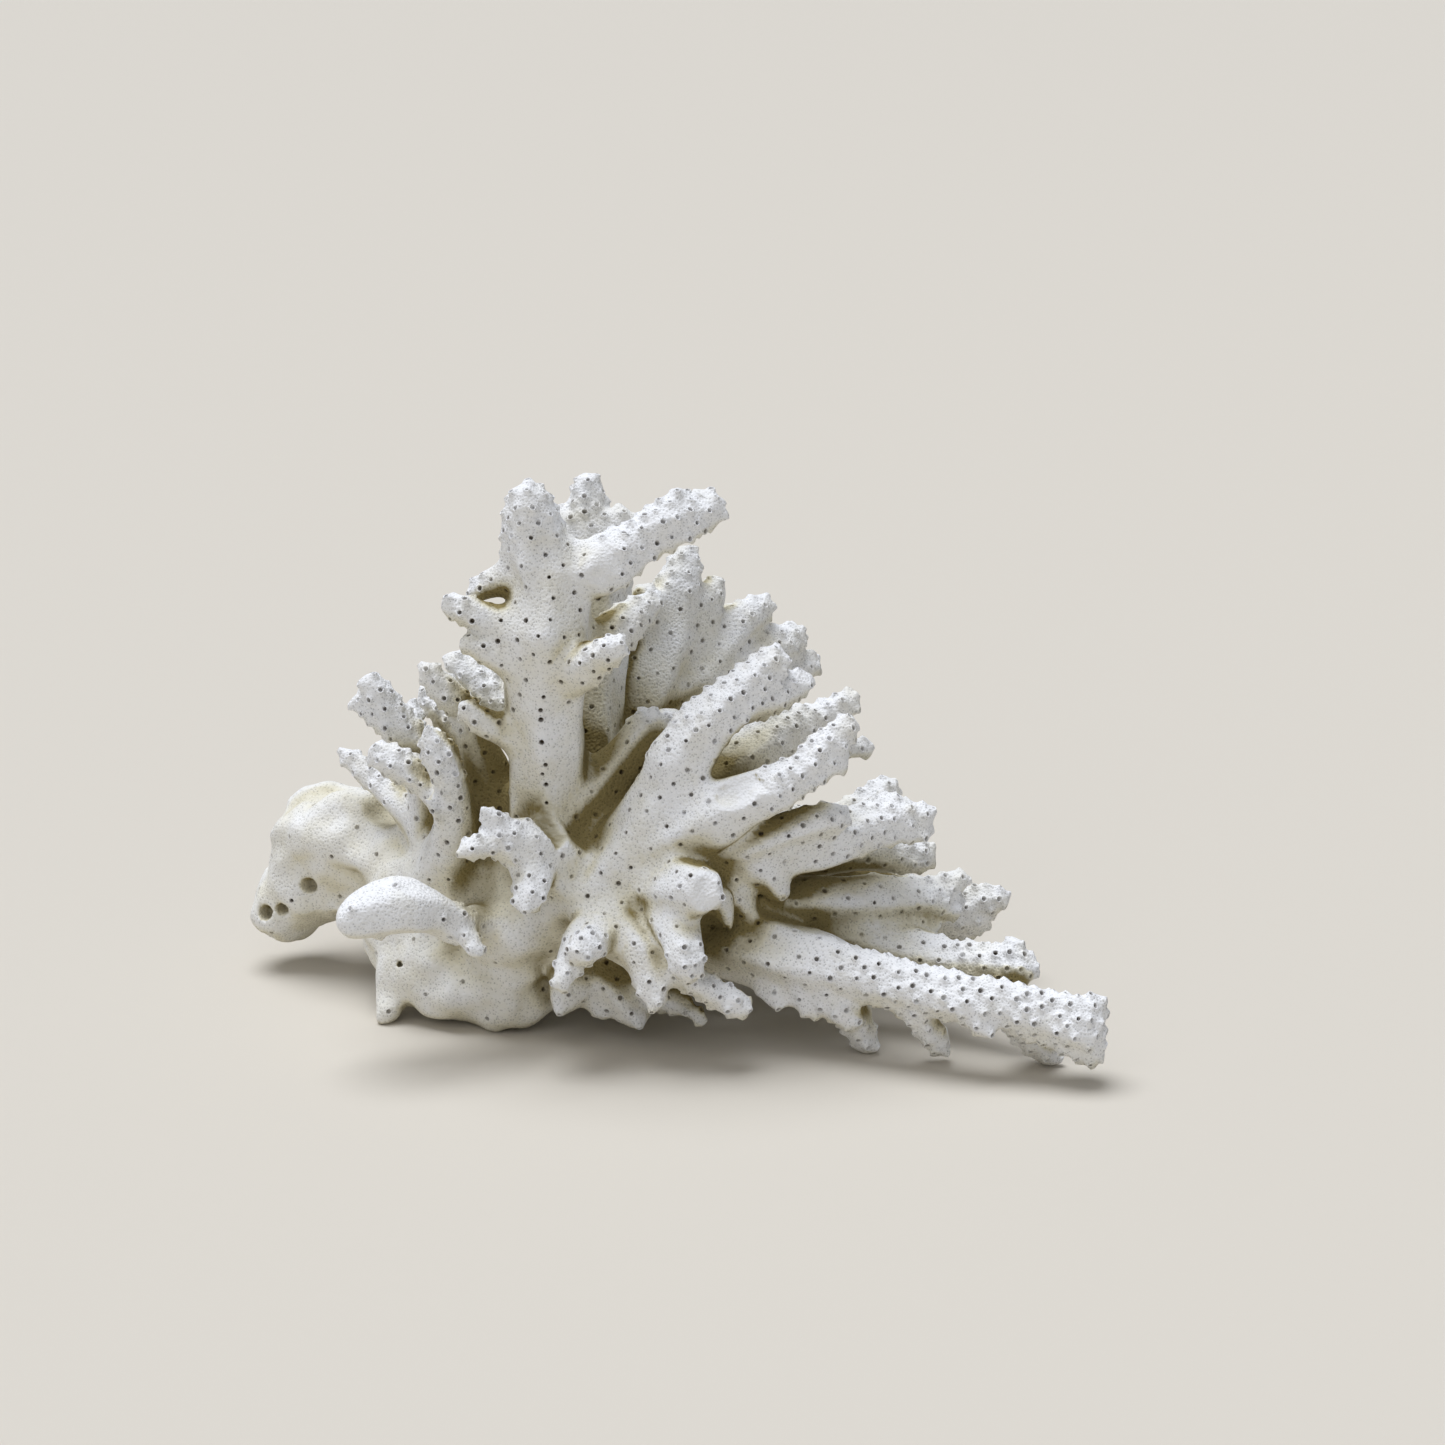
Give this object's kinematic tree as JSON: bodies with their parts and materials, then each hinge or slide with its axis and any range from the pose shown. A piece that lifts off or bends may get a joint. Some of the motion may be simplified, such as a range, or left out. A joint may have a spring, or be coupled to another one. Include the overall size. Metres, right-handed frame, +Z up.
{
  "type": "branching coral skeleton",
  "caption": "Loose bleached skeleton of a bushy branching coral: a thick old base, a tall crown trunk and round-tipped fingers fanning to one side; rests on its flat-cut base.",
  "frame": {"origin": "on the table top, under the middle of the coral's bounding box", "axes": "+X to the viewer's right along the low arm, +Y away from the viewer, +Z up"},
  "size_m": [0.1302, 0.092, 0.0834],
  "materials": {
    "bleached_skeleton": "matt, finely grainy limestone",
    "cream_skeleton": "matt, finely grainy limestone",
    "aged_skeleton": "matt, worn limestone"
  },
  "bodies": {
    "root": {"base_stem": "aged_skeleton", "crown_trunk": "cream_skeleton", "crown_horn": "bleached_skeleton", "crown_arm": "bleached_skeleton", "trunk_finger": "bleached_skeleton", "broken_fork": "bleached_skeleton", "left_limb": "cream_skeleton", "left_spray": "bleached_skeleton", "left_fork": "bleached_skeleton", "front_club": "bleached_skeleton", "right_limb": "cream_skeleton", "right_upper_finger": "bleached_skeleton", "right_middle_finger": "cream_skeleton", "right_front_finger": "bleached_skeleton", "right_low_finger": "bleached_skeleton", "front_stub": "bleached_skeleton", "front_knob": "bleached_skeleton", "front_prongs": "bleached_skeleton", "under_prongs": "cream_skeleton", "right_arm": "cream_skeleton", "low_arm": "bleached_skeleton", "low_arm_ridge": "cream_skeleton", "back_crown": "cream_skeleton", "back_fan": "cream_skeleton", "back_fingers": "cream_skeleton", "right_rear_finger": "cream_skeleton", "rear_right_arm": "cream_skeleton", "rear_low_arm": "cream_skeleton", "rear_arm": "cream_skeleton", "rear_left_limb": "cream_skeleton", "rear_foot": "aged_skeleton"}
  },
  "joints": []
}
